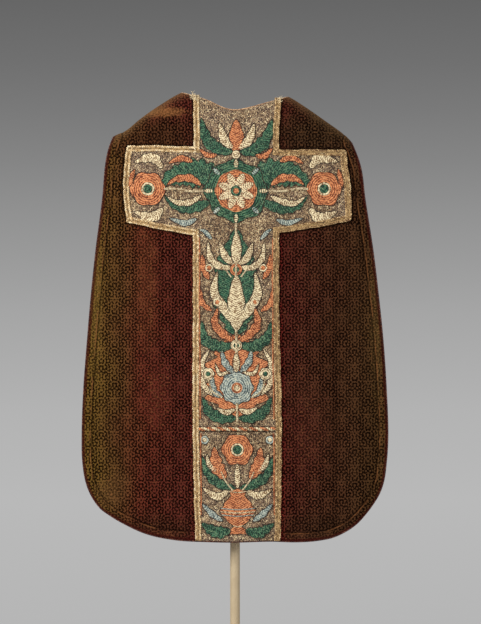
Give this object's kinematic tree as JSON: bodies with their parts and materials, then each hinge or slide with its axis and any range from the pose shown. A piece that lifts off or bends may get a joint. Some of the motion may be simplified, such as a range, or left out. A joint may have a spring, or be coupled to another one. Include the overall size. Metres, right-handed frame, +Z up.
{
  "type": "chasuble on a display stand",
  "caption": "Velvet chasuble with an embroidered cross on its back, hung over a padded shoulder form on a pole with a round base.",
  "frame": {"origin": "centre of the base plate's underside, on the floor and on the pole's axis", "axes": "+Z up along the pole, +X to the right seen from the garment's back, +Y from the garment's back to its front"},
  "size_m": [0.7564, 0.38, 1.5397],
  "materials": {
    "velvet": "matte pile",
    "orphrey": "couched metal thread",
    "galloon": "woven braid",
    "piping": "matte cord",
    "form_cover": "matte jersey",
    "stand_paint": "matte"
  },
  "bodies": {
    "root": {"back_left": "velvet", "back_right": "velvet", "front": "velvet", "orphrey_column": "orphrey", "orphrey_lower": "orphrey", "orphrey_arm_left": "orphrey", "orphrey_arm_right": "orphrey", "galloon_left": "galloon", "galloon_right": "galloon", "band_cord": "galloon", "edge_piping": "piping", "neck_binding": "piping", "shoulder_form": "form_cover", "form_flange": "stand_paint", "pole": "stand_paint", "pole_collar": "stand_paint", "base_plate": "stand_paint"}
  },
  "joints": []
}
